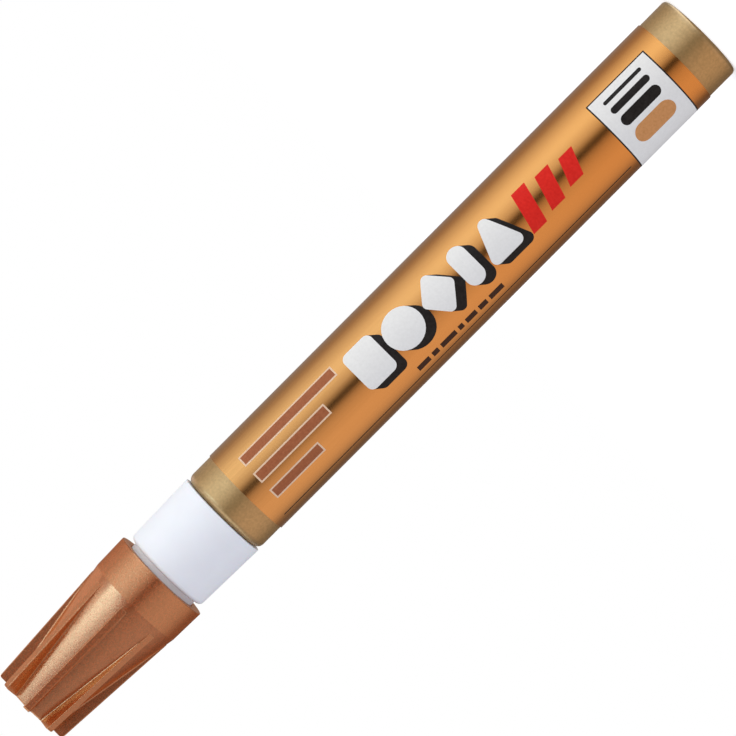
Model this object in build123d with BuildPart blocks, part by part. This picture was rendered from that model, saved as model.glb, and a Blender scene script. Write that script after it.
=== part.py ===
# Paint marker with a valve-action tip: an aluminium can wrapped in printed film, a white
# front moulding with a spring-loaded valve behind the nib, and a push-on cap with fins.
# Millimetres. The axis is Z, the origin is the centre of the rear base, and the cap is up.
import math
import os

from build123d import *

os.makedirs("parts", exist_ok=True)

# Can
can_length = 99.67
can_diameter = 14.68
can_wall = 0.45
can_base_thickness = 1.4
can_rear_radius = 0.6
can_front_radius = 1.2
can_floor_radius = 0.6
base_rim_width = 1.15
base_recess_depth = 0.6
base_recess_radius = 0.3
lip_width = 0.95

# Printed film
film_thickness = 0.14
film_glue_line = 0.02
film_rear_margin = 5.33
film_front_margin = 4.81

# Front holder
plug_length = 8.0
plug_clearance = 0.04
plug_chamfer = 0.3
lip_clearance = 0.05
neck_wall = 0.8
collar_overhang = 0.1
collar_taper = 0.3
collar_length = 11.91
collar_front_radius = 0.7
collar_rear_radius = 0.12
spigot_step = 1.02
spigot_length = 4.9
spigot_edge_radius = 0.3
snap_bead_height = 0.07
snap_bead_width = 1.0
snap_bead_inset = 1.2
cone_length = 2.3
nose_diameter = 7.9
nose_length = 6.2
nose_edge_radius = 0.4
valve_bore_depth = 14.0
flute_count = 4
flute_radius = 0.4

# Sealing washer under the can's lip
gasket_thickness = 0.8
gasket_clearance = 0.05

# Nib
nib_diameter = 4.6
nib_length = 16.0
nib_exposure = 3.2
nib_bullet_length = 2.9
nib_point_radius = 0.8
nib_clearance = 0.05
nib_rear_chamfer = 0.4

# Valve
seat_thickness = 1.6
seat_fit = 0.03
seat_flow_gap = 0.6
seat_gap = 0.1
stem_diameter = 2.0
stem_cone_length = 1.0
stem_cone_clearance = 0.15
head_thickness = 1.2
head_flow_gap = 0.6
rib_count = 4
rib_thickness = 0.9
rib_length = 5.0
rib_clearance = 0.1
tail_length = 3.0
case_fit = 0.03
case_wall = 0.8
case_floor = 1.0
case_flange_thickness = 1.0
case_flange_overhang = 1.2
cage_length = 7.6
window_count = 4
window_width = 2.6
window_margin = 0.6
drain_diameter = 2.4

# Valve spring
wire_diameter = 0.4
spring_turns = 9
spring_guide_clearance = 0.4
spring_end_gap = 0.05
samples_per_turn = 24

# Mixing ball
ball_diameter = 7.0
ball_seat_gap = 0.02

# Cap
cap_gap = 0.85
cap_clearance = 0.15
cap_mouth_wall = 1.76
cap_mouth_radius = 0.1
cap_skirt_length = 5.5
cap_skirt_draft = 0.13
cap_bore_margin = 2.4
cap_core_wall = 1.15
cap_end_thickness = 5.5
cap_end_skin = 1.4
cap_end_side_wall = 1.5
cap_end_radius = 0.3
fin_count = 8
fin_first_angle = -87.4
fin_width = 1.1
fin_inset = 0.74
fin_end_height = 2.3
fin_depth = 0.5
fin_sink = 0.03
fin_root_radius = 0.3
fin_edge_radius = 0.12
fin_edge_share = 0.25
fin_start_height = 0.06
fin_growth_steps = 5
fin_tip_radius = 0.3
fin_tip_steps = 3

# Cap liner
liner_clearance = 0.1
liner_wall = 0.65
liner_skirt_length = 7.0
liner_seat_gap = 2.0
liner_cup_clearance = 1.0
liner_top = 0.8
liner_fit = 0.03
liner_cone_gap = 0.1
nib_headroom = 5.39

edge_tolerance = 1e-4

# Radii, from the can inwards
can_radius = can_diameter / 2
can_bore_radius = can_radius - can_wall
lip_bore_radius = can_radius - can_front_radius - lip_width
lip_inner_radius = can_front_radius - can_wall
base_recess_reach = can_radius - can_rear_radius - base_rim_width
plug_radius = can_bore_radius - plug_clearance
neck_radius = lip_bore_radius - lip_clearance
valve_bore_radius = neck_radius - neck_wall
collar_radius = can_radius + collar_overhang
collar_front_reach = collar_radius - collar_taper
spigot_radius = collar_front_reach - spigot_step
nose_radius = nose_diameter / 2
nib_radius = nib_diameter / 2
nib_bore_radius = nib_radius + nib_clearance
stem_radius = stem_diameter / 2
seat_radius = valve_bore_radius - seat_fit
seat_hole_radius = stem_radius + seat_flow_gap
case_radius = valve_bore_radius - case_fit
case_bore_radius = case_radius - case_wall
rib_radius = case_bore_radius - rib_clearance
head_radius = case_bore_radius - head_flow_gap
spring_radius = stem_radius + spring_guide_clearance + wire_diameter / 2

# Stations along the axis, from the base to the tip of the nib
lip_under_z = can_length - can_wall
plug_top_z = lip_under_z - gasket_thickness
plug_rear_z = plug_top_z - plug_length
valve_shoulder_z = plug_rear_z + valve_bore_depth
seat_under_z = valve_shoulder_z - seat_thickness
head_top_z = seat_under_z - seat_gap
head_under_z = head_top_z - head_thickness
rib_under_z = head_under_z - rib_length
cage_rear_z = plug_rear_z - cage_length
case_floor_z = cage_rear_z + case_floor
flange_under_z = plug_rear_z - case_flange_thickness
collar_front_z = can_length + collar_length
spigot_end_z = collar_front_z + spigot_length
cone_end_z = spigot_end_z + cone_length
nose_end_z = cone_end_z + nose_length
nib_tip_z = nose_end_z + nib_exposure
nib_rear_z = nib_tip_z - nib_length

# Bullet point of the nib: an arc off the rod that runs into a small round point
bullet_z = nib_tip_z - nib_bullet_length
bullet_rise = nib_bullet_length - nib_point_radius
bullet_span = nib_radius ** 2 + bullet_rise ** 2 - nib_point_radius ** 2
bullet_radius = bullet_span / 2 / (nib_radius - nib_point_radius)
bullet_blend = bullet_radius / (bullet_radius - nib_point_radius)
point_edge = ((nib_radius - bullet_radius) * (1 - bullet_blend), bullet_z + bullet_rise * bullet_blend)

# Cap and liner, worked out from the tip that they cover
cap_mouth_z = collar_front_z + cap_gap
cap_shoulder_z = cap_mouth_z + cap_skirt_length
cap_bore_radius = spigot_radius + cap_clearance
cap_bore_end_z = spigot_end_z + cap_bore_margin
cap_mouth_reach = cap_bore_radius + cap_mouth_wall
cap_shoulder_reach = cap_mouth_reach - cap_skirt_draft
liner_skirt_bore = nose_radius + liner_clearance
liner_skirt_radius = liner_skirt_bore + liner_wall
liner_cup_bore = nib_radius + liner_cup_clearance
liner_cup_radius = liner_cup_bore + liner_wall
socket_radius = liner_cup_radius + liner_fit
socket_start_z = nose_end_z + liner_seat_gap
socket_start_radius = liner_skirt_radius + liner_cone_gap
liner_rear_z = socket_start_z - liner_skirt_length
liner_step_z = socket_start_z - liner_wall
liner_inside_z = nib_tip_z + nib_headroom
liner_top_z = liner_inside_z + liner_top
cap_end_z = liner_top_z + cap_end_thickness
core_slope = (cap_shoulder_reach - socket_radius - cap_core_wall) / (liner_top_z - cap_shoulder_z)
core_end_radius = cap_shoulder_reach - core_slope * (cap_end_z - cap_shoulder_z)
end_hollow_radius = core_end_radius - cap_end_side_wall
end_hollow_z = cap_end_z - cap_end_skin
fin_start_z = cap_shoulder_z + fin_inset
fin_rise = fin_end_height / (cap_end_z - fin_start_z)
fin_rear_z = fin_start_z + fin_start_height / fin_rise
fin_tip_z = cap_end_z - fin_tip_radius


def rims(part, radius, height):
    """Circular edges of a turned part at one radius and height."""
    circles = part.edges().filter_by(GeomType.CIRCLE)
    at_height = [edge for edge in circles if abs(edge.arc_center.Z - height) < edge_tolerance]
    return [edge for edge in at_height if abs(edge.radius - radius) < edge_tolerance]


# Can: a cup with its lip rolled in over the holder's neck and a shallow recess in its base
with BuildPart() as barrel:
    with BuildSketch(Plane.XZ):
        with BuildLine():
            Polyline(
                (0, base_recess_depth),
                (base_recess_reach, base_recess_depth),
                (base_recess_reach, 0),
                (can_radius, 0),
                (can_radius, can_length),
                (lip_bore_radius, can_length),
                (lip_bore_radius, lip_under_z),
                (can_bore_radius, lip_under_z),
                (can_bore_radius, can_base_thickness),
                (0, can_base_thickness),
                close=True,
            )
        make_face()
    revolve(axis=Axis.Z)
    fillet(rims(barrel, can_radius, 0), can_rear_radius)
    fillet(rims(barrel, can_radius, can_length), can_front_radius)
    fillet(rims(barrel, can_bore_radius, lip_under_z), lip_inner_radius)
    fillet(rims(barrel, can_bore_radius, can_base_thickness), can_floor_radius)
    fillet(rims(barrel, base_recess_reach, base_recess_depth), base_recess_radius)
barrel.part.label = "barrel"
export_step(barrel.part, "parts/barrel.step")

# Film wrapped round the can, short of both of its ends
with BuildPart() as label_film:
    with BuildSketch(Plane.XY.offset(film_rear_margin)):
        Circle(can_radius + film_glue_line + film_thickness)
        Circle(can_radius + film_glue_line, mode=Mode.SUBTRACT)
    extrude(amount=can_length - film_rear_margin - film_front_margin)
label_film.part.label = "label_film"
export_step(label_film.part, "parts/label_film.step")

# Front holder: plug in the can, neck through the lip, collar, spigot for the cap, and nose
with BuildPart() as front_holder:
    with BuildSketch(Plane.XZ):
        with BuildLine():
            Polyline(
                (valve_bore_radius, plug_rear_z),
                (plug_radius, plug_rear_z),
                (plug_radius, plug_top_z),
                (neck_radius, plug_top_z),
                (neck_radius, can_length),
                (collar_radius, can_length),
                (collar_front_reach, collar_front_z),
                (spigot_radius, collar_front_z),
                (spigot_radius, spigot_end_z),
                (nose_radius, cone_end_z),
                (nose_radius, nose_end_z),
                (nib_bore_radius, nose_end_z),
                (nib_bore_radius, valve_shoulder_z),
                (valve_bore_radius, valve_shoulder_z),
                close=True,
            )
        make_face()
    revolve(axis=Axis.Z)
    chamfer(rims(front_holder, plug_radius, plug_rear_z), plug_chamfer)
    chamfer(rims(front_holder, plug_radius, plug_top_z), plug_chamfer)
    fillet(rims(front_holder, collar_radius, can_length), collar_rear_radius)
    fillet(rims(front_holder, collar_front_reach, collar_front_z), collar_front_radius)
    fillet(rims(front_holder, spigot_radius, spigot_end_z), spigot_edge_radius)
    fillet(rims(front_holder, nose_radius, nose_end_z), nose_edge_radius)
    with BuildSketch(Plane.XZ):
        with BuildLine():
            bead_rear = (spigot_radius, cap_mouth_z + snap_bead_inset)
            bead_front = (spigot_radius, cap_mouth_z + snap_bead_inset + snap_bead_width)
            Line(bead_front, bead_rear)
            SagittaArc(bead_rear, bead_front, -snap_bead_height)
        make_face()
    revolve(axis=Axis.Z)
    with BuildSketch(Plane.XY.offset(valve_shoulder_z)):
        with PolarLocations(nib_bore_radius, flute_count):
            Circle(flute_radius)
    extrude(amount=nose_end_z - valve_shoulder_z, mode=Mode.SUBTRACT)
front_holder.part.label = "front_holder"
export_step(front_holder.part, "parts/front_holder.step")

# Sealing washer squeezed between the plug and the lip
with BuildPart() as can_gasket:
    with BuildSketch(Plane.XY.offset(plug_top_z)):
        Circle(can_bore_radius - lip_inner_radius - gasket_clearance)
        Circle(neck_radius + gasket_clearance, mode=Mode.SUBTRACT)
    extrude(amount=gasket_thickness)
can_gasket.part.label = "can_gasket"
export_step(can_gasket.part, "parts/can_gasket.step")

# Nib: a round rod with a bullet point
with BuildPart() as nib:
    with BuildSketch(Plane.XZ):
        with BuildLine():
            Polyline((0, nib_tip_z), (0, nib_rear_z), (nib_radius, nib_rear_z), (nib_radius, bullet_z))
            side = TangentArc((nib_radius, bullet_z), point_edge, tangent=(0, 1))
            TangentArc(point_edge, (0, nib_tip_z), tangent=side % 1)
        make_face()
    revolve(axis=Axis.Z)
    chamfer(rims(nib, nib_radius, nib_rear_z), nib_rear_chamfer)
nib.part.label = "nib"
export_step(nib.part, "parts/nib.step")

# Valve seat: a sealing ring against the shoulder of the valve bore
with BuildPart() as valve_seat:
    with BuildSketch(Plane.XY.offset(seat_under_z)):
        Circle(seat_radius)
        Circle(seat_hole_radius, mode=Mode.SUBTRACT)
    extrude(amount=seat_thickness)
valve_seat.part.label = "valve_seat"
export_step(valve_seat.part, "parts/valve_seat.step")

# Valve plunger: stem up to the nib, sealing head, guide ribs, and a tail inside the spring
with BuildPart() as valve_plunger:
    with BuildSketch(Plane.XZ):
        with BuildLine():
            Polyline(
                (0, rib_under_z - tail_length),
                (stem_radius, rib_under_z - tail_length),
                (stem_radius, head_under_z),
                (head_radius, head_under_z),
                (head_radius, head_top_z),
                (seat_hole_radius - stem_cone_clearance, head_top_z),
                (stem_radius, head_top_z + stem_cone_length),
                (stem_radius, nib_rear_z),
                (0, nib_rear_z),
                close=True,
            )
        make_face()
    revolve(axis=Axis.Z)
    with BuildSketch(Plane.XY.offset(rib_under_z)):
        with PolarLocations(rib_radius / 2, rib_count):
            Rectangle(rib_radius, rib_thickness)
        Circle(rib_radius, mode=Mode.INTERSECT)
    extrude(amount=rib_length)
valve_plunger.part.label = "valve_plunger"
export_step(valve_plunger.part, "parts/valve_plunger.step")

# Valve case: a sleeve in the holder's bore that ends in a cage behind the plug
with BuildPart() as valve_case:
    with BuildSketch(Plane.XZ):
        with BuildLine():
            Polyline(
                (drain_diameter / 2, cage_rear_z),
                (case_radius, cage_rear_z),
                (case_radius, flange_under_z),
                (case_radius + case_flange_overhang, flange_under_z),
                (case_radius + case_flange_overhang, plug_rear_z),
                (case_radius, plug_rear_z),
                (case_radius, seat_under_z),
                (case_bore_radius, seat_under_z),
                (case_bore_radius, case_floor_z),
                (drain_diameter / 2, case_floor_z),
                close=True,
            )
        make_face()
    revolve(axis=Axis.Z)
    with BuildSketch(Plane.XY.offset(case_floor_z + window_margin)):
        with PolarLocations(case_radius, window_count):
            Rectangle(case_radius, window_width)
    extrude(amount=flange_under_z - case_floor_z - 2 * window_margin, mode=Mode.SUBTRACT)
valve_case.part.label = "valve_case"
export_step(valve_case.part, "parts/valve_case.step")

# Valve spring: one wire wound from the floor of the case to the ribs of the plunger
spring_start_z = case_floor_z + spring_end_gap + wire_diameter / 2
spring_end_z = rib_under_z - spring_end_gap - wire_diameter / 2
spring_pitch = (spring_end_z - spring_start_z) / spring_turns


def wire_point(turn):
    """Point on the centre line of the wire after a number of turns."""
    angle = 2 * math.pi * turn
    height = spring_start_z + spring_pitch * turn
    return Vector(spring_radius * math.cos(angle), spring_radius * math.sin(angle), height)


def wire_direction(turn):
    """Unit vector along the wire after a number of turns."""
    angle = 2 * math.pi * turn
    rise = spring_pitch / (2 * math.pi)
    return Vector(-spring_radius * math.sin(angle), spring_radius * math.cos(angle), rise).normalized()


with BuildPart() as valve_spring:
    with BuildLine() as wire_path:
        for quarter in range(4 * spring_turns):
            start = wire_point(quarter / 4)
            end = wire_point((quarter + 1) / 4)
            leaving = wire_direction(quarter / 4)
            arriving = wire_direction((quarter + 1) / 4)
            chord = end - start
            along = chord.dot(leaving + arriving)
            bend = 2 * (1 - leaving.dot(arriving))
            reach = (math.sqrt(along ** 2 + bend * chord.dot(chord)) - along) / bend
            first_corner = start + leaving * reach
            last_corner = end - arriving * reach
            middle = (first_corner + last_corner) * 0.5
            TangentArc(start, middle, tangent=leaving)
            TangentArc(middle, end, tangent=last_corner - first_corner)
    with BuildSketch(Plane(origin=wire_point(0), z_dir=wire_direction(0))):
        Circle(wire_diameter / 2)
    sweep(path=wire_path.wire())
valve_spring.part.label = "valve_spring"
export_step(valve_spring.part, "parts/valve_spring.step")

wire_points = [wire_point(step / samples_per_turn) for step in range(spring_turns * samples_per_turn + 1)]
half_turn = samples_per_turn // 2
wire_spacing = min(
    (far - near).length for step, near in enumerate(wire_points) for far in wire_points[step + half_turn:]
)
print("valve_spring least gap to itself, mm:", round(wire_spacing - wire_diameter, 2))

# Mixing ball, loose in the can and resting on its floor
with BuildPart() as mixing_ball:
    with Locations((0, 0, can_base_thickness + ball_seat_gap + ball_diameter / 2)):
        Sphere(ball_diameter / 2)
mixing_ball.part.label = "mixing_ball"
export_step(mixing_ball.part, "parts/mixing_ball.step")


# One fin of the cap, lying over +X: it rises out of the core, with hollow roots and rounded edges
def fin_height(height_z):
    """Height of the fin's top line over the core at one height."""
    return fin_rise * (height_z - fin_start_z)


def fin_section(height_z, height):
    """Section of the fin across the axis, with its lower side inside the core."""
    core_radius = cap_shoulder_reach - core_slope * (height_z - cap_shoulder_z)
    half_width = fin_width / 2
    edge = min(fin_edge_radius, fin_edge_share * height)
    root = min(fin_root_radius, height - 2 * edge)
    root_reach = math.sqrt(root * (2 * fin_root_radius - root))
    side = half_width + root_reach
    foot = math.sqrt(core_radius ** 2 - side ** 2) - fin_sink
    base = core_radius - fin_depth
    top = core_radius + height
    with BuildSketch(Plane.XY.offset(height_z)) as section:
        with BuildLine():
            Polyline((foot, side), (base, side), (base, -side), (foot, -side))
            TangentArc((foot, -side), (foot + root, -half_width), tangent=(0, 1))
            Line((foot + root, -half_width), (top - edge, -half_width))
            TangentArc((top - edge, -half_width), (top, edge - half_width), tangent=(1, 0))
            Line((top, edge - half_width), (top, half_width - edge))
            TangentArc((top - edge, half_width), (top, half_width - edge), tangent=(1, 0))
            Line((top - edge, half_width), (foot + root, half_width))
            TangentArc((foot, side), (foot + root, half_width), tangent=(0, -1))
        make_face()
    return section.sketch


with BuildPart() as fin:
    for step in range(fin_growth_steps):
        section_z = fin_rear_z + (fin_tip_z - fin_rear_z) * (step / fin_growth_steps) ** 2
        add(fin_section(section_z, fin_height(section_z)))
    for step in range(fin_tip_steps + 1):
        turn = math.radians(90 * step / fin_tip_steps)
        section_z = fin_tip_z + fin_tip_radius * math.sin(turn)
        add(fin_section(section_z, fin_height(section_z) - fin_tip_radius * (1 - math.cos(turn))))
    loft(ruled=True)

# Cap: plain skirt, tapering core with fins, stepped hollow for the tip and the liner
with BuildPart() as cap_shell:
    with BuildSketch(Plane.XZ):
        with BuildLine():
            Polyline(
                (cap_bore_radius, cap_mouth_z),
                (cap_mouth_reach, cap_mouth_z),
                (cap_shoulder_reach, cap_shoulder_z),
                (core_end_radius, cap_end_z),
                (0, cap_end_z),
                (0, end_hollow_z),
                (end_hollow_radius, end_hollow_z),
                (end_hollow_radius, liner_top_z),
                (socket_radius, liner_top_z),
                (socket_radius, socket_start_z),
                (socket_start_radius, socket_start_z),
                (cap_bore_radius, cap_bore_end_z),
                close=True,
            )
        make_face()
    revolve(axis=Axis.Z)
    fillet(rims(cap_shell, cap_mouth_reach, cap_mouth_z), cap_mouth_radius)
    chamfer(rims(cap_shell, cap_bore_radius, cap_mouth_z), cap_mouth_radius)
    fillet(rims(cap_shell, core_end_radius, cap_end_z), cap_end_radius)
    with PolarLocations(0, fin_count, start_angle=fin_first_angle):
        add(fin.part)
cap_shell.part.label = "cap_shell"
export_step(cap_shell.part, "parts/cap_shell.step")

# Cap liner: a cup pressed into the cap, with a skirt that closes on the nose
with BuildPart() as cap_liner:
    with BuildSketch(Plane.XZ):
        with BuildLine():
            Polyline(
                (liner_skirt_bore, liner_rear_z),
                (liner_skirt_radius, liner_rear_z),
                (liner_skirt_radius, socket_start_z),
                (liner_cup_radius, socket_start_z),
                (liner_cup_radius, liner_top_z),
                (0, liner_top_z),
                (0, liner_inside_z),
                (liner_cup_bore, liner_inside_z),
                (liner_cup_bore, liner_step_z),
                (liner_skirt_bore, liner_step_z),
                close=True,
            )
        make_face()
    revolve(axis=Axis.Z)
cap_liner.part.label = "cap_liner"
export_step(cap_liner.part, "parts/cap_liner.step")
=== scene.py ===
# Looks of the paint marker: finishes of the parts, a generic printed design on the film, studio and camera.
import math

import bmesh
import bpy
from mathutils import Matrix, Vector


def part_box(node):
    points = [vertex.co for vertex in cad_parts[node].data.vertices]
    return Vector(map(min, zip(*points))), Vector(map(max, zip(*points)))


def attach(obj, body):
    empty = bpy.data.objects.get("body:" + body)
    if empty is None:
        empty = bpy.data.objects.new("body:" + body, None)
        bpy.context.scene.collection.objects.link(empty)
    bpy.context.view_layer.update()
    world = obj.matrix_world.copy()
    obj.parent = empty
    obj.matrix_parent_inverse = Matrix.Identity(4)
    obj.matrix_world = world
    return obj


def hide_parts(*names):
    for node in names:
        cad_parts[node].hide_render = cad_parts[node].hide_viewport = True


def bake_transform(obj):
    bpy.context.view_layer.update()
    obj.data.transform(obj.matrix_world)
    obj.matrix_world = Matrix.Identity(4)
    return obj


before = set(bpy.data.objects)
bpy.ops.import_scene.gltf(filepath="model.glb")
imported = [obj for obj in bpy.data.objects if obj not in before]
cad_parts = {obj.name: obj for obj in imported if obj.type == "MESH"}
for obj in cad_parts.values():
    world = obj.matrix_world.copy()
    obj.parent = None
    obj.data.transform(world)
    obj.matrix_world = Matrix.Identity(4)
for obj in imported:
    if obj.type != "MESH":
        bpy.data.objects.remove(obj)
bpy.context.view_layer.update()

MM = 0.001

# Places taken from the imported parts
film_low, film_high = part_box("label_film")
can_low, can_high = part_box("barrel")
FILM_RADIUS = film_high.x
FILM_REAR = film_low.z
FILM_FRONT = film_high.z
CAN_REAR = can_low.z
CAN_FRONT = can_high.z
# The body that carries the printed film and the case round the valve's spring
PRINTED_BODY = "marker_body"
SPRING_NODE = "valve_spring"

# Camera, from the photograph: the axis runs from the lower left (cap) to the upper right (rear end)
PICTURE_AXIS = math.radians(45.105)
CAMERA_DISTANCE = 0.600
CAMERA_HEIGHT = 0.058
CAMERA_SIDE = 0.00008
AIM_HEIGHT = 0.06918
LENS_MM = 198.9
SENSOR_MM = 36.0
CLIP_NEAR = 0.01
CLIP_FAR = 20.0

# Studio light: colour of the surroundings for diffuse surfaces, floor and lamps
AMBIENT_COLOUR = (0.780, 0.794, 0.864, 1.0)
WHITE = (1.0, 1.0, 1.0, 1.0)
BLACK = (0.0, 0.0, 0.0, 1.0)
FLOOR_COLOUR = (0.8, 0.8, 0.8, 1.0)
FLOOR_GLOW = 0.40
FLOOR_REACH = 4.0
LAMP_DISTANCE = 0.75
LAMP_WIDTH = 0.5
LAMP_LENGTH = 0.8
LAMP_COLOUR = (1.0, 0.985, 0.85)

# Ring of cards that only reflections see: angle from the camera's side, light level, share of the warm tint
RING_DISTANCE = 1.0
RING_LEVELS = (
    (-180, 0.50, 0.6), (-166, 0.25, 1), (-140, 0.18, 1), (-124, 0.28, 1), (-111, 0.56, 1), (-96, 0.84, 1),
    (-80, 0.98, 1), (-58, 1.02, 1), (-34, 0.89, 1), (-22, 0.75, 1), (-14, 0.57, 1), (-8, 0.35, 1),
    (-4, 0.03, 1), (4, 0.03, 1), (8, 0.34, 0.9), (14, 0.57, 0.55), (22, 0.77, 0.35), (34, 0.90, 0.2),
    (46, 1.0, 0), (60, 1.0, 0), (72, 0.94, 0.15), (96, 0.69, 0.4), (112, 0.50, 0.8), (124, 0.38, 0.75),
    (140, 0.33, 0.6), (166, 0.35, 0.6), (180, 0.50, 0.6),
)
# Rows of the ring: height over the aim point, cool tint, warm tint
RING_ROWS = (
    (-0.9, (1.70, 1.80, 1.90), (0.32, 0.24, 0.18)),
    (-0.45, (1.60, 1.70, 1.80), (0.32, 0.24, 0.18)),
    (-0.28, (1.10, 1.16, 1.24), (0.78, 0.55, 0.41)),
    (-0.12, (1.10, 1.16, 1.24), (0.78, 0.55, 0.41)),
    (0.12, (0.97, 0.98, 1.0), (0.85, 0.65, 0.55)),
    (0.20, (0.96, 0.92, 0.90), (0.60, 0.47, 0.44)),
    (0.38, (0.80, 0.80, 0.86), (0.56, 0.45, 0.46)),
    (0.52, (0.48, 0.48, 0.60), (0.36, 0.29, 0.28)),
    (0.9, (0.48, 0.48, 0.60), (0.34, 0.28, 0.27)),
)
# Nearer cards for the cap: corners as angle and height over the aim point
CAP_CARD_DISTANCE = 0.7
CAP_FRONT_CARD = ((26.0, 0.25), (72.0, 0.25), (72.0, 0.33), (26.0, 0.33))
CAP_FRONT_LIGHT = (3.2, 4.4, 5.3)
CAP_EDGE_CARD = ((108.0, 0.13), (158.0, 0.13), (158.0, 0.36), (108.0, 0.36))
CAP_EDGE_LIGHT = (0.75, 0.62, 0.62)
# Level cards under the floor, side by side along X: a dim one, and a bright one for the can's rear rim
LEVEL_CARDS_HEIGHT = -0.6
LEVEL_CARDS_REACH = 1.2
LEVEL_CARDS_SPLIT = 0.3
UNDER_CARD_LIGHT = (0.30, 0.23, 0.18)
RIM_CARD_LIGHT = (1.8, 1.8, 1.8)

# Ink heights above the film, so that one ink lies on another
INK_LOW = 0.008 * MM
INK_MIDDLE = 0.014 * MM
INK_HIGH = 0.020 * MM
INK_ROOT = 0.004 * MM
WRAP_STEP = 0.4 * MM
SOFT_EDGE_ANGLE = 0.5
CORNER_SEGMENTS = 32

# Printed design: sizes along and round the film, and sides in degrees from the line that faces the camera
BARS_FROM_FRONT = 3.0 * MM
BAR_LENGTHS = (19.0 * MM, 14.5 * MM, 10.0 * MM)
BAR_WIDTH = 1.9 * MM
BAR_FRAME = 0.25 * MM
FIRST_BAR_SIDE = -27
BAR_SIDE_STEP = 26

# The row of shapes, in millimetres: each has its place, the centres of its round corners and their radius
SQUARE = ((-1.7, -2.4), (1.7, -2.4), (1.7, 2.4), (-1.7, 2.4))
DOT = ((0.0, 0.0),)
DIAMOND = ((-2.2, 0.0), (0.0, -2.7), (2.2, 0.0), (0.0, 2.7))
OBLONG = ((0.0, -1.9), (0.0, 1.9))
TRIANGLE = ((-2.0, 2.5), (2.0, 2.5), (0.0, -2.3))
SHAPE_ROW = (
    (68.3, SQUARE, 1.1), (61.3, DOT, 3.3), (54.1, DIAMOND, 0.8), (48.4, OBLONG, 1.6), (42.4, TRIANGLE, 1.0),
)
SHAPES_SIDE = -4
SHADOW_ALONG = -1.2 * MM
SHADOW_ROUND = 1.1 * MM

DASHES_START = 64.0 * MM
DASH_LENGTHS = (2.4 * MM, 1.2 * MM, 3.0 * MM, 0.9 * MM, 2.1 * MM, 1.6 * MM, 2.7 * MM)
DASH_WIDTH = 1.0 * MM
DASH_GAP = 0.6 * MM
DASHES_SIDE = 45

RED_BAR_COUNT = 3
RED_BARS_START = 36.0 * MM
RED_BAR_PITCH = 4.3 * MM
RED_BAR_LENGTH = 2.7 * MM
RED_BAR_WIDTH = 6.6 * MM
RED_BAR_SHRINK = 1.2 * MM
RED_BAR_LEAN = -1.6 * MM
RED_BARS_SIDE = 1

PANEL_FROM_REAR = 8.55 * MM
PANEL_LENGTH = 11.4 * MM
PANEL_START_SIDE = -34
PANEL_END_SIDE = 160
PANEL_EDGE = 0.225 * MM
STRIP_LENGTH = 7.6 * MM
# Strips and colour patch on the panel: side and width
STRIPS = ((-22, 0.6 * MM), (-9, 1.1 * MM), (8, 1.8 * MM))
COLOUR_PATCH = (34, 3.2 * MM)

RULE_PLACE = 57.0 * MM
RULE_LENGTH = 72.0 * MM
RULE_WIDTH = 0.18 * MM
RULE_SIDE = 58.5

SEAM_SIDE = 178
SEAM_WIDTH = 3.0 * MM

# Middle part of a noise, where most of its values lie
NOISE_LOW = 0.3
NOISE_HIGH = 0.7

# Paler rims of the can, partly wear and partly painted highlight: distance from its ends where they are
# palest, and where the paleness stops
RIM_WEAR_AND_HIGHLIGHT_FULL_MM = 0.1
RIM_WEAR_AND_HIGHLIGHT_END_MM = 1.1
# Painted highlight along sharp edges: agreement of the eased and the plain normal where it is full, and where
# it stops
EDGE_HIGHLIGHT_FULL = 0.90
EDGE_HIGHLIGHT_NONE = 0.99
EDGE_SAMPLES = 8

# Unevenness of an ink's roughness to both sides of its own
INK_SMOOTHER = 0.04
INK_ROUGHER = 0.06

# Colour inputs and output of a Mix node
MIX_FIRST, MIX_SECOND, MIX_COLOUR = 6, 7, 2


def node(tree, kind, inputs=None, **settings):
    """Adds a shader node; an input is either a value or the socket that feeds it."""
    made = tree.nodes.new(kind)
    for name, value in settings.items():
        setattr(made, name, value)
    for name, value in (inputs or {}).items():
        if isinstance(value, bpy.types.NodeSocket):
            tree.links.new(value, made.inputs[name])
        else:
            made.inputs[name].default_value = value
    return made


def new_material(name, **values):
    """A material with one Principled shader, with constant values set on its own sockets."""
    material = bpy.data.materials.new(name)
    material.use_nodes = True
    shader = material.node_tree.nodes["Principled BSDF"]
    for socket, value in values.items():
        shader.inputs[socket.replace("_", " ")].default_value = value
    return material, material.node_tree, shader


def connect(tree, shader, colour, roughness, normal):
    """Feeds the three sockets of the shader that vary over the surface."""
    tree.links.new(colour, shader.inputs["Base Color"])
    tree.links.new(roughness, shader.inputs["Roughness"])
    tree.links.new(normal, shader.inputs["Normal"])


def millimetre_space(tree, stretch=(1.0, 1.0, 1.0)):
    """Object coordinates in millimetres; a grain is drawn out along an axis whose stretch is small."""
    place = node(tree, "ShaderNodeTexCoord")
    scale = tuple(part / MM for part in stretch)
    return node(tree, "ShaderNodeMapping", {"Vector": place.outputs["Object"], "Scale": scale}).outputs[0]


def height_in(tree, space):
    """Height along the marker's axis."""
    return node(tree, "ShaderNodeSeparateXYZ", {"Vector": space}).outputs["Z"]


def noise(tree, space, per_mm, detail=3.0):
    texture = node(tree, "ShaderNodeTexNoise", {"Vector": space, "Scale": per_mm, "Detail": detail})
    return texture.outputs["Fac"]


def spread(tree, fac, low, high):
    """Maps the middle of a noise to a range of values."""
    return node(
        tree, "ShaderNodeMapRange",
        {"Value": fac, "From Min": NOISE_LOW, "From Max": NOISE_HIGH, "To Min": low, "To Max": high},
    ).outputs["Result"]


def tint(tree, fac, dark, light):
    """A colour between two others, by a noise."""
    ramp = node(tree, "ShaderNodeValToRGB", {"Fac": fac})
    for stop, place, colour in zip(ramp.color_ramp.elements, (NOISE_LOW, NOISE_HIGH), (dark, light)):
        stop.position = place
        stop.color = (*colour, 1.0)
    return ramp.outputs["Color"]


def bump(tree, height, depth):
    return node(tree, "ShaderNodeBump", {"Height": height, "Distance": depth}).outputs["Normal"]


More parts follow.
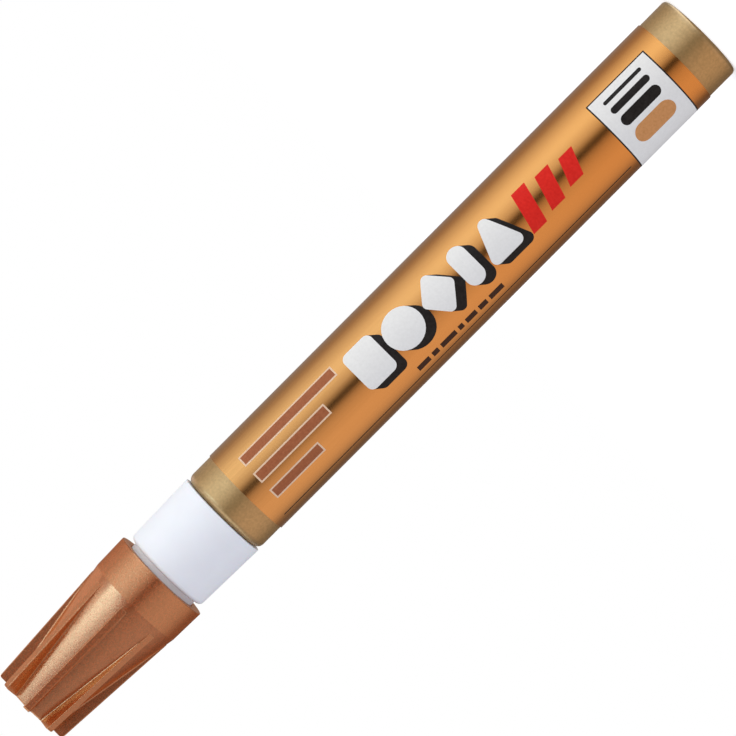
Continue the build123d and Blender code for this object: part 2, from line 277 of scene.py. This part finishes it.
def combine(tree, operation, first, second):
    """Two values put together by a Math node."""
    return node(tree, "ShaderNodeMath", {0: first, 1: second}, operation=operation).outputs[0]


def fade(tree, value, full, none):
    """One where a value is at or past full, falling to zero at none."""
    return node(
        tree, "ShaderNodeMapRange",
        {"Value": value, "From Min": none, "From Max": full, "To Min": 0.0, "To Max": 1.0},
    ).outputs["Result"]


def changed(tree, mask, colour, other):
    """A colour that changes to another where the mask says so."""
    mix = node(tree, "ShaderNodeMix", {"Factor": mask}, data_type="RGBA")
    tree.links.new(colour, mix.inputs[MIX_FIRST])
    mix.inputs[MIX_SECOND].default_value = (*other, 1.0)
    return mix.outputs[MIX_COLOUR]


def edge_highlight_mask(tree, width):
    """Mask of a painted highlight: one along the sharp edges of a part, falling to zero on its open faces."""
    eased = node(tree, "ShaderNodeBevel", {"Radius": width}, samples=EDGE_SAMPLES)
    plain = node(tree, "ShaderNodeNewGeometry")
    alike = node(
        tree, "ShaderNodeVectorMath",
        {0: eased.outputs["Normal"], 1: plain.outputs["Normal"]}, operation="DOT_PRODUCT",
    )
    return fade(tree, alike.outputs["Value"], full=EDGE_HIGHLIGHT_FULL, none=EDGE_HIGHLIGHT_NONE)


def can_lacquer():
    """Champagne lacquer on extruded aluminium: satin, finely grained, paler on its two rims from wear and a
    painted highlight.
    """
    material, tree, shader = new_material(
        "can_lacquer", Metallic=0.7, IOR=2.2, Specular_IOR_Level=0.9, Coat_Weight=0.5, Coat_Roughness=0.25
    )
    space = millimetre_space(tree)
    grain = noise(tree, space, per_mm=2.6)
    lines = noise(tree, millimetre_space(tree, stretch=(9.0, 9.0, 0.25)), per_mm=1.0)
    height = height_in(tree, space)
    rear, front = CAN_REAR / MM, CAN_FRONT / MM
    # Rims: partly rubbed lacquer, partly a painted highlight on the can's rounded ends.
    rear_rim = fade(tree, height, full=rear + RIM_WEAR_AND_HIGHLIGHT_FULL_MM, none=rear + RIM_WEAR_AND_HIGHLIGHT_END_MM)
    front_rim = fade(tree, height, full=front - RIM_WEAR_AND_HIGHLIGHT_FULL_MM, none=front - RIM_WEAR_AND_HIGHLIGHT_END_MM)
    rims = combine(tree, "MAXIMUM", rear_rim, front_rim)
    rim_wear_and_highlight = combine(tree, "MULTIPLY", rims, spread(tree, noise(tree, space, per_mm=1.3), low=0.1, high=0.6))
    lacquer = tint(tree, grain, dark=(0.47, 0.290, 0.083), light=(0.59, 0.370, 0.123))
    connect(
        tree, shader,
        colour=changed(tree, rim_wear_and_highlight, lacquer, other=(0.68, 0.52, 0.28)),
        roughness=spread(tree, lines, low=0.35, high=0.40),
        normal=bump(tree, grain, depth=0.006 * MM),
    )
    return material


def metal_film():
    """Metallised bronze film under clear lacquer, deeper towards the rear, with faint lengthwise streaks."""
    material, tree, shader = new_material("metal_film", Metallic=1.0, Coat_Weight=0.6, Coat_Roughness=0.2)
    space = millimetre_space(tree)
    streaks = noise(tree, millimetre_space(tree, stretch=(5.0, 5.0, 0.12)), per_mm=1.0)
    to_rear = fade(tree, height_in(tree, space), full=FILM_REAR / MM, none=FILM_FRONT / MM)
    bronze = tint(tree, streaks, dark=(0.78, 0.415, 0.130), light=(0.84, 0.455, 0.150))
    connect(
        tree, shader,
        colour=changed(tree, to_rear, bronze, other=(0.82, 0.375, 0.090)),
        roughness=spread(tree, streaks, low=0.21, high=0.25),
        normal=bump(tree, noise(tree, space, per_mm=0.22, detail=1.0), depth=0.008 * MM),
    )
    return material


def white_moulding():
    """Satin white moulding with a faint cool cast and a fine mould texture."""
    material, tree, shader = new_material(
        "white_moulding", Subsurface_Weight=0.08, Subsurface_Scale=0.5 * MM
    )
    space = millimetre_space(tree)
    cloud = noise(tree, space, per_mm=0.35)
    texture = noise(tree, space, per_mm=9.0)
    connect(
        tree, shader,
        colour=tint(tree, cloud, dark=(0.805, 0.825, 0.875), light=(0.825, 0.845, 0.895)),
        roughness=spread(tree, texture, low=0.46, high=0.56),
        normal=bump(tree, texture, depth=0.003 * MM),
    )
    return material


def copper_pearl():
    """Copper plastic with fine pearl flakes, streaked along the mould's flow, with a painted highlight along
    its edges.
    """
    material, tree, shader = new_material(
        "copper_pearl", IOR=2.6, Specular_IOR_Level=1.0, Specular_Tint=(1.0, 0.66, 0.36, 1.0)
    )
    space = millimetre_space(tree, stretch=(1.0, 1.0, 0.7))
    flakes = node(tree, "ShaderNodeTexVoronoi", {"Vector": space, "Scale": 4.6})
    sparkle = node(tree, "ShaderNodeSeparateColor", {"Color": flakes.outputs["Color"]})
    flow = noise(tree, millimetre_space(tree, stretch=(1.0, 1.0, 0.2)), per_mm=0.6)
    pearl = tint(tree, sparkle.outputs["Red"], dark=(0.28, 0.045, 0.007), light=(0.37, 0.060, 0.012))
    # Painted highlight: the colour turns pale copper along the fins' sharp edges and roots, standing in for
    # light caught there.
    edges = combine(tree, "MULTIPLY", edge_highlight_mask(tree, width=0.2 * MM), 0.5)
    connect(
        tree, shader,
        colour=changed(tree, edges, pearl, other=(0.66, 0.32, 0.16)),
        roughness=spread(tree, flow, low=0.20, high=0.24),
        normal=bump(tree, sparkle.outputs["Green"], depth=0.0035 * MM),
    )
    return material


def nib_fibre():
    """Pressed fibre: pale, with strands along the nib."""
    material, tree, shader = new_material("nib_fibre", Sheen_Weight=0.2)
    strands = noise(tree, millimetre_space(tree, stretch=(14.0, 14.0, 1.2)), per_mm=1.0)
    connect(
        tree, shader,
        colour=tint(tree, strands, dark=(0.70, 0.66, 0.58), light=(0.86, 0.83, 0.76)),
        roughness=spread(tree, strands, low=0.75, high=0.95),
        normal=bump(tree, strands, depth=0.03 * MM),
    )
    return material


def natural_moulding(name, dark, light):
    """Unpigmented moulding: milky, slightly uneven."""
    material, tree, shader = new_material(name, Subsurface_Weight=0.2, Subsurface_Scale=0.8 * MM)
    space = millimetre_space(tree)
    cloud = noise(tree, space, per_mm=0.8)
    connect(
        tree, shader,
        colour=tint(tree, cloud, dark, light),
        roughness=spread(tree, cloud, low=0.34, high=0.48),
        normal=bump(tree, noise(tree, space, per_mm=8.0), depth=0.003 * MM),
    )
    return material


def seal_rubber():
    """Black rubber, matt, with a fine speckle."""
    material, tree, shader = new_material("seal_rubber")
    speck = noise(tree, millimetre_space(tree), per_mm=5.0)
    connect(
        tree, shader,
        colour=tint(tree, speck, dark=(0.018, 0.018, 0.019), light=(0.040, 0.040, 0.042)),
        roughness=spread(tree, speck, low=0.62, high=0.8),
        normal=bump(tree, speck, depth=0.006 * MM),
    )
    return material


def steel(name, low_roughness, high_roughness):
    """Bare steel with faint handling marks."""
    material, tree, shader = new_material(name, Metallic=1.0)
    marks = noise(tree, millimetre_space(tree), per_mm=3.0, detail=5.0)
    connect(
        tree, shader,
        colour=tint(tree, marks, dark=(0.52, 0.52, 0.54), light=(0.62, 0.62, 0.63)),
        roughness=spread(tree, marks, low_roughness, high_roughness),
        normal=bump(tree, marks, depth=0.002 * MM),
    )
    return material


def ink(name, dark, light, roughness):
    """Printing ink, slightly uneven where it was laid down."""
    material, tree, shader = new_material(name, Specular_IOR_Level=0.15)
    space = millimetre_space(tree)
    lay = noise(tree, space, per_mm=2.5)
    connect(
        tree, shader,
        colour=tint(tree, lay, dark, light),
        roughness=spread(tree, lay, low=roughness - INK_SMOOTHER, high=roughness + INK_ROUGHER),
        normal=bump(tree, noise(tree, space, per_mm=10.0), depth=0.002 * MM),
    )
    return material


def dress(node_name, material):
    """Gives a carried-over part its finish."""
    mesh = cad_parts[node_name].data
    mesh.materials.clear()
    mesh.materials.append(material)


def pressed_spring():
    """A copy of the valve's spring in place of the carried-over part, which is hidden; the real spring
    shortens as the nib is pressed in.
    """
    spring = bpy.data.objects.new("pressed_spring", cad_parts[SPRING_NODE].data.copy())
    bpy.context.scene.collection.objects.link(spring)
    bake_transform(spring)
    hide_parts(SPRING_NODE)


def wrapped(name, outlines, height, material):
    """A thin closed patch of ink on the film, from outlines of (along, across) points on the flat film."""
    patch = bmesh.new()
    for outline in outlines:
        patch.faces.new([patch.verts.new((across, along, 0.0)) for along, across in outline])
    bmesh.ops.triangulate(patch, faces=patch.faces[:])
    lowest = min(vert.co.x for vert in patch.verts)
    highest = max(vert.co.x for vert in patch.verts)
    for step in range(math.ceil(lowest / WRAP_STEP), math.floor(highest / WRAP_STEP) + 1):
        bmesh.ops.bisect_plane(
            patch, geom=patch.verts[:] + patch.edges[:] + patch.faces[:],
            plane_co=(step * WRAP_STEP, 0, 0), plane_no=(1, 0, 0),
        )
    raised = bmesh.ops.extrude_face_region(patch, geom=patch.faces[:], use_keep_orig=True)["geom"]
    for vert in patch.verts:
        vert.co.z = -INK_ROOT
    for item in raised:
        if isinstance(item, bmesh.types.BMVert):
            item.co.z = height
    bmesh.ops.recalc_face_normals(patch, faces=patch.faces[:])
    for edge in patch.edges:
        edge.smooth = edge.calc_face_angle(0.0) < SOFT_EDGE_ANGLE
    for face in patch.faces:
        face.smooth = True
    for vert in patch.verts:
        across, along, rise = vert.co
        angle = across / FILM_RADIUS
        radius = FILM_RADIUS + rise
        vert.co = (-radius * math.sin(angle), -radius * math.cos(angle), along)
    mesh = bpy.data.meshes.new(name)
    patch.to_mesh(mesh)
    patch.free()
    mesh.materials.append(material)
    piece = bpy.data.objects.new(name, mesh)
    bpy.context.scene.collection.objects.link(piece)
    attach(piece, PRINTED_BODY)


def on_film(degrees):
    """Distance round the film from the line that faces the camera, towards -X if above 0."""
    return FILM_RADIUS * math.radians(degrees)


def shifted(outline, along, across):
    return [(place + along, side + across) for place, side in outline]


def bar(along, across, length, width):
    """Rectangle centred on a place."""
    half_length, half_width = length / 2, width / 2
    return [
        (along - half_length, across - half_width), (along + half_length, across - half_width),
        (along + half_length, across + half_width), (along - half_length, across + half_width),
    ]


def slanted_bar(along, across, length, width, lean):
    """Parallelogram: a bar whose far side is shifted along the film."""
    return [
        (place + math.copysign(lean / 2, side - across), side)
        for place, side in bar(along, across, length, width)
    ]


def hull(points):
    """Convex outline round a set of points."""
    ordered = sorted(set(points))
    outline = []
    for run in (ordered, ordered[::-1]):
        chain = []
        for point in run:
            while len(chain) > 1:
                first, last = Vector(chain[-2]), Vector(chain[-1])
                if (last - first).cross(Vector(point) - first) > 0:
                    break
                chain.pop()
            chain.append(point)
        outline.extend(chain[:-1])
    return outline


def rounded(corners, radius):
    """Convex outline with round corners, from the centres of the corners."""
    points = []
    for along, across in corners:
        for segment in range(CORNER_SEGMENTS):
            angle = 2 * math.pi * segment / CORNER_SEGMENTS
            points.append((along + radius * math.cos(angle), across + radius * math.sin(angle)))
    return hull(points)


def pill(along, across, length, width):
    """Bar with round ends."""
    straight = (length - width) / 2
    return rounded([(along - straight, across), (along + straight, across)], width / 2)


def cast_shadow(outline, along, across):
    """Outline of a convex shape together with its shifted copy."""
    return hull(outline + shifted(outline, along, across))


def print_bars(frame_ink, bar_ink):
    """Framed bars near the cap, each shorter than the one before."""
    frames, fills = [], []
    for count, length in enumerate(BAR_LENGTHS):
        place = FILM_FRONT - BARS_FROM_FRONT - length / 2
        side = on_film(FIRST_BAR_SIDE + BAR_SIDE_STEP * count)
        frames.append(bar(place, side, length, BAR_WIDTH))
        fills.append(bar(place, side, length - 2 * BAR_FRAME, BAR_WIDTH - 2 * BAR_FRAME))
    wrapped("print_bar_frames", frames, INK_LOW, frame_ink)
    wrapped("print_bars", fills, INK_MIDDLE, bar_ink)


def print_shapes(shape_ink, shadow_ink):
    """A row of shapes with round corners and deep shadows."""
    shapes = []
    for place, corners, radius in SHAPE_ROW:
        centres = [((place + along) * MM, on_film(SHAPES_SIDE) + across * MM) for along, across in corners]
        shapes.append(rounded(centres, radius * MM))
    for count, shape in enumerate(shapes):
        shadow = cast_shadow(shape, SHADOW_ALONG, SHADOW_ROUND)
        wrapped(f"print_shadow_{count}", [shadow], INK_LOW, shadow_ink)
    wrapped("print_shapes", shapes, INK_MIDDLE, shape_ink)


def print_dashes(dash_ink):
    """A line of dashes of uneven length beside the shapes."""
    dashes = []
    place = DASHES_START
    for length in DASH_LENGTHS:
        dashes.append(bar(place - length / 2, on_film(DASHES_SIDE), length, DASH_WIDTH))
        place -= length + DASH_GAP
    wrapped("print_dashes", dashes, INK_LOW, dash_ink)


def print_red_bars(bar_ink):
    """Slanted bars that grow narrower towards the rear."""
    red_bars = []
    for count in range(RED_BAR_COUNT):
        place = RED_BARS_START - RED_BAR_PITCH * count
        width = RED_BAR_WIDTH - RED_BAR_SHRINK * count
        red_bars.append(slanted_bar(place, on_film(RED_BARS_SIDE), RED_BAR_LENGTH, width, RED_BAR_LEAN))
    wrapped("print_red_bars", red_bars, INK_LOW, bar_ink)


def print_panel(panel_ink, line_ink, patch_ink):
    """A panel with a dark edge, three strips and a patch of the paint's colour."""
    place = FILM_REAR + PANEL_FROM_REAR
    start, end = on_film(PANEL_START_SIDE), on_film(PANEL_END_SIDE)
    middle = (start + end) / 2
    width = end - start
    edge = bar(place, middle, PANEL_LENGTH + 2 * PANEL_EDGE, width + 2 * PANEL_EDGE)
    wrapped("print_panel_edge", [edge], INK_LOW, line_ink)
    wrapped("print_panel", [bar(place, middle, PANEL_LENGTH, width)], INK_MIDDLE, panel_ink)
    strips = [pill(place, on_film(side), STRIP_LENGTH, strip_width) for side, strip_width in STRIPS]
    wrapped("print_lines", strips, INK_HIGH, line_ink)
    patch_side, patch_width = COLOUR_PATCH
    patch = pill(place, on_film(patch_side), STRIP_LENGTH, patch_width)
    wrapped("print_colour_patch", [patch], INK_HIGH, patch_ink)


def print_rule(rule_ink):
    """One thin rule along the film."""
    rule = bar(RULE_PLACE, on_film(RULE_SIDE), RULE_LENGTH, RULE_WIDTH)
    wrapped("print_rule", [rule], INK_LOW, rule_ink)


def print_design():
    """Generic design: bars, a row of shapes with shadows, dashes, slanted bars, a panel and a rule."""
    white = ink("ink_white", dark=(0.77, 0.765, 0.75), light=(0.81, 0.805, 0.79), roughness=0.35)
    black = ink("ink_black", dark=(0.012, 0.010, 0.010), light=(0.022, 0.019, 0.018), roughness=0.38)
    red = ink("ink_red", dark=(0.66, 0.014, 0.008), light=(0.74, 0.020, 0.012), roughness=0.36)
    brown = ink("ink_brown", dark=(0.31, 0.095, 0.036), light=(0.37, 0.120, 0.048), roughness=0.4)
    umber = ink("ink_umber", dark=(0.045, 0.017, 0.009), light=(0.060, 0.024, 0.013), roughness=0.4)
    pale = ink("ink_pale", dark=(0.72, 0.50, 0.35), light=(0.78, 0.56, 0.40), roughness=0.4)
    bronze = ink("ink_bronze", dark=(0.55, 0.25, 0.09), light=(0.62, 0.29, 0.11), roughness=0.3)
    print_bars(frame_ink=pale, bar_ink=brown)
    print_shapes(shape_ink=white, shadow_ink=black)
    print_dashes(umber)
    print_red_bars(red)
    print_panel(panel_ink=white, line_ink=black, patch_ink=bronze)
    print_rule(black)


def film_seam(material):
    """The lap where the film's two ends meet, on the side away from the camera."""
    middle = (FILM_REAR + FILM_FRONT) / 2
    lap = bar(middle, on_film(SEAM_SIDE), FILM_FRONT - FILM_REAR, SEAM_WIDTH)
    wrapped("film_seam", [lap], INK_HIGH, material)


def around(angle, distance, height):
    """A place round the marker: angle from the camera's side, towards -X if below 0."""
    turn = math.radians(angle)
    return Vector((distance * math.sin(turn), -distance * math.cos(turn), height))


def level_corners(left, right, reach, height):
    """Corners of a level rectangle, from left to right along X and to its reach both ways along Y."""
    return [(left, -reach, height), (right, -reach, height), (right, reach, height), (left, reach, height)]


def softbox(name, angle, height, power):
    """A large soft light that shades the diffuse surfaces; the cards make the reflections."""
    lamp = bpy.data.lights.new(name, "AREA")
    lamp.shape = "RECTANGLE"
    lamp.size = LAMP_WIDTH
    lamp.size_y = LAMP_LENGTH
    lamp.energy = power
    lamp.color = LAMP_COLOUR
    box = bpy.data.objects.new(name, lamp)
    box.location = around(angle, LAMP_DISTANCE, height)
    box.rotation_mode = "QUATERNION"
    towards = box.location - Vector((0.0, 0.0, AIM_HEIGHT))
    box.rotation_quaternion = towards.to_track_quat("Z", "Y")
    box.visible_camera = False
    box.visible_glossy = False
    bpy.context.scene.collection.objects.link(box)


def stage_plane(name, corners, material, faces=None):
    """A piece of the studio: one face through its corners, or the faces given."""
    mesh = bpy.data.meshes.new(name)
    mesh.from_pydata(corners, [], faces or [tuple(range(len(corners)))])
    mesh.materials.append(material)
    plane = bpy.data.objects.new(name, mesh)
    bpy.context.scene.collection.objects.link(plane)
    return plane


def light_card(name, **values):
    """Material of a card that gives off light and reflects none."""
    return new_material(
        name, Base_Color=BLACK, Roughness=1.0, Specular_IOR_Level=0.0, Emission_Strength=1.0, **values
    )


def for_reflections(card):
    """Hides a card from all rays but reflections."""
    card.visible_camera = False
    card.visible_diffuse = False
    card.visible_transmission = False
    card.visible_shadow = False


def plain_card(name, corners, colour):
    """A studio card of one colour."""
    material = light_card(name, Emission_Color=(*colour, 1.0))[0]
    for_reflections(stage_plane(name, corners, material))


def cap_card(name, corners, colour):
    """A studio card at the height of the cap."""
    places = [around(angle, CAP_CARD_DISTANCE, AIM_HEIGHT + height) for angle, height in corners]
    plain_card(name, places, colour)


def level_card(name, left, right, colour):
    """A level studio card under the floor."""
    plain_card(name, level_corners(left, right, LEVEL_CARDS_REACH, LEVEL_CARDS_HEIGHT), colour)


def ring_card(name):
    """A ring of cards round the marker, whose light changes gradually with the angle and the height."""
    corners, lights, faces = [], [], []
    row_count = len(RING_ROWS)
    for column, (angle, level, warmth) in enumerate(RING_LEVELS):
        for row, (height, cool, warm) in enumerate(RING_ROWS):
            corners.append(around(angle, RING_DISTANCE, AIM_HEIGHT + height))
            lights.extend(level * part for part in Vector(cool).lerp(Vector(warm), warmth))
            lights.append(1.0)
            if column and row:
                here = column * row_count + row
                faces.append((here, here - 1, here - 1 - row_count, here - row_count))
    material, tree, shader = light_card(name)
    light = node(tree, "ShaderNodeAttribute", attribute_name="card_light")
    tree.links.new(light.outputs["Color"], shader.inputs["Emission Color"])
    ring = stage_plane(name, corners, material, faces)
    ring.data.color_attributes.new("card_light", "FLOAT_COLOR", "POINT").data.foreach_set("color", lights)
    for_reflections(ring)


def background_ray(tree):
    """One for rays that see the background directly, in a reflection or through the object."""
    path = node(tree, "ShaderNodeLightPath")
    seen = combine(tree, "MAXIMUM", path.outputs["Is Camera Ray"], path.outputs["Is Glossy Ray"])
    return combine(tree, "MAXIMUM", seen, path.outputs["Is Transmission Ray"])


def surroundings():
    """A world that is white to look at and gives the diffuse surfaces a faintly cool light."""
    world = bpy.data.worlds.new("studio_world")
    world.use_nodes = True
    bpy.context.scene.world = world
    tree = world.node_tree
    sky = node(tree, "ShaderNodeMix", {"Factor": background_ray(tree)}, data_type="RGBA")
    sky.inputs[MIX_FIRST].default_value = AMBIENT_COLOUR
    sky.inputs[MIX_SECOND].default_value = WHITE
    tree.links.new(sky.outputs[MIX_COLOUR], tree.nodes["Background"].inputs["Color"])


def pale_floor():
    """A pale floor with a glow that only shows to look at, so that it meets the white surroundings."""
    material, tree, shader = new_material(
        "pale_floor", Base_Color=FLOOR_COLOUR, Roughness=0.9, Emission_Color=WHITE
    )
    glow = combine(tree, "MULTIPLY", background_ray(tree), FLOOR_GLOW)
    tree.links.new(glow, shader.inputs["Emission Strength"])
    floor = stage_plane("floor", level_corners(-FLOOR_REACH, FLOOR_REACH, FLOOR_REACH, 0.0), material)
    floor.visible_glossy = False


def studio():
    """White surroundings, a pale floor, cards for the metal to reflect, and two softboxes."""
    surroundings()
    pale_floor()
    ring_card("studio_ring")
    cap_card("cap_front_card", CAP_FRONT_CARD, CAP_FRONT_LIGHT)
    cap_card("cap_edge_card", CAP_EDGE_CARD, CAP_EDGE_LIGHT)
    level_card("under_card", -LEVEL_CARDS_REACH, LEVEL_CARDS_SPLIT, UNDER_CARD_LIGHT)
    level_card("rim_card", LEVEL_CARDS_SPLIT, LEVEL_CARDS_REACH, RIM_CARD_LIGHT)
    softbox("key_softbox", angle=65.0, height=0.30, power=2.75)
    softbox("fill_softbox", angle=-70.0, height=0.20, power=0.3)


def photo_camera():
    """Camera at the photograph's view: nearly square to the axis, rolled to put the cap at the lower left."""
    lens = bpy.data.cameras.new("photo_camera")
    lens.lens = LENS_MM
    lens.sensor_width = SENSOR_MM
    lens.clip_start = CLIP_NEAR
    lens.clip_end = CLIP_FAR
    camera = bpy.data.objects.new("photo_camera", lens)
    bpy.context.scene.collection.objects.link(camera)
    place = Vector((CAMERA_SIDE, -CAMERA_DISTANCE, CAMERA_HEIGHT))
    back = (place - Vector((CAMERA_SIDE, 0.0, AIM_HEIGHT))).normalized()
    picture_up = Vector((math.cos(PICTURE_AXIS), 0.0, -math.sin(PICTURE_AXIS)))
    right = picture_up.cross(back).normalized()
    turned = Matrix((right, back.cross(right), back)).transposed().to_4x4()
    turned.translation = place
    camera.matrix_world = turned
    bpy.context.scene.camera = camera


film = metal_film()
valve_plastic = natural_moulding("valve_plastic", dark=(0.70, 0.71, 0.70), light=(0.78, 0.79, 0.78))
liner_plastic = natural_moulding("liner_plastic", dark=(0.74, 0.74, 0.72), light=(0.82, 0.82, 0.80))
rubber = seal_rubber()
dress("barrel", can_lacquer())
dress("label_film", film)
dress("front_holder", white_moulding())
dress("cap_shell", copper_pearl())
dress("cap_liner", liner_plastic)
dress("nib", nib_fibre())
dress("can_gasket", rubber)
dress("valve_seat", rubber)
dress("valve_plunger", valve_plastic)
dress("valve_case", valve_plastic)
dress(SPRING_NODE, steel("spring_steel", low_roughness=0.25, high_roughness=0.35))
dress("mixing_ball", steel("ball_steel", low_roughness=0.10, high_roughness=0.18))
pressed_spring()
print_design()
film_seam(film)
studio()
photo_camera()
bpy.context.scene.view_settings.view_transform = "Standard"
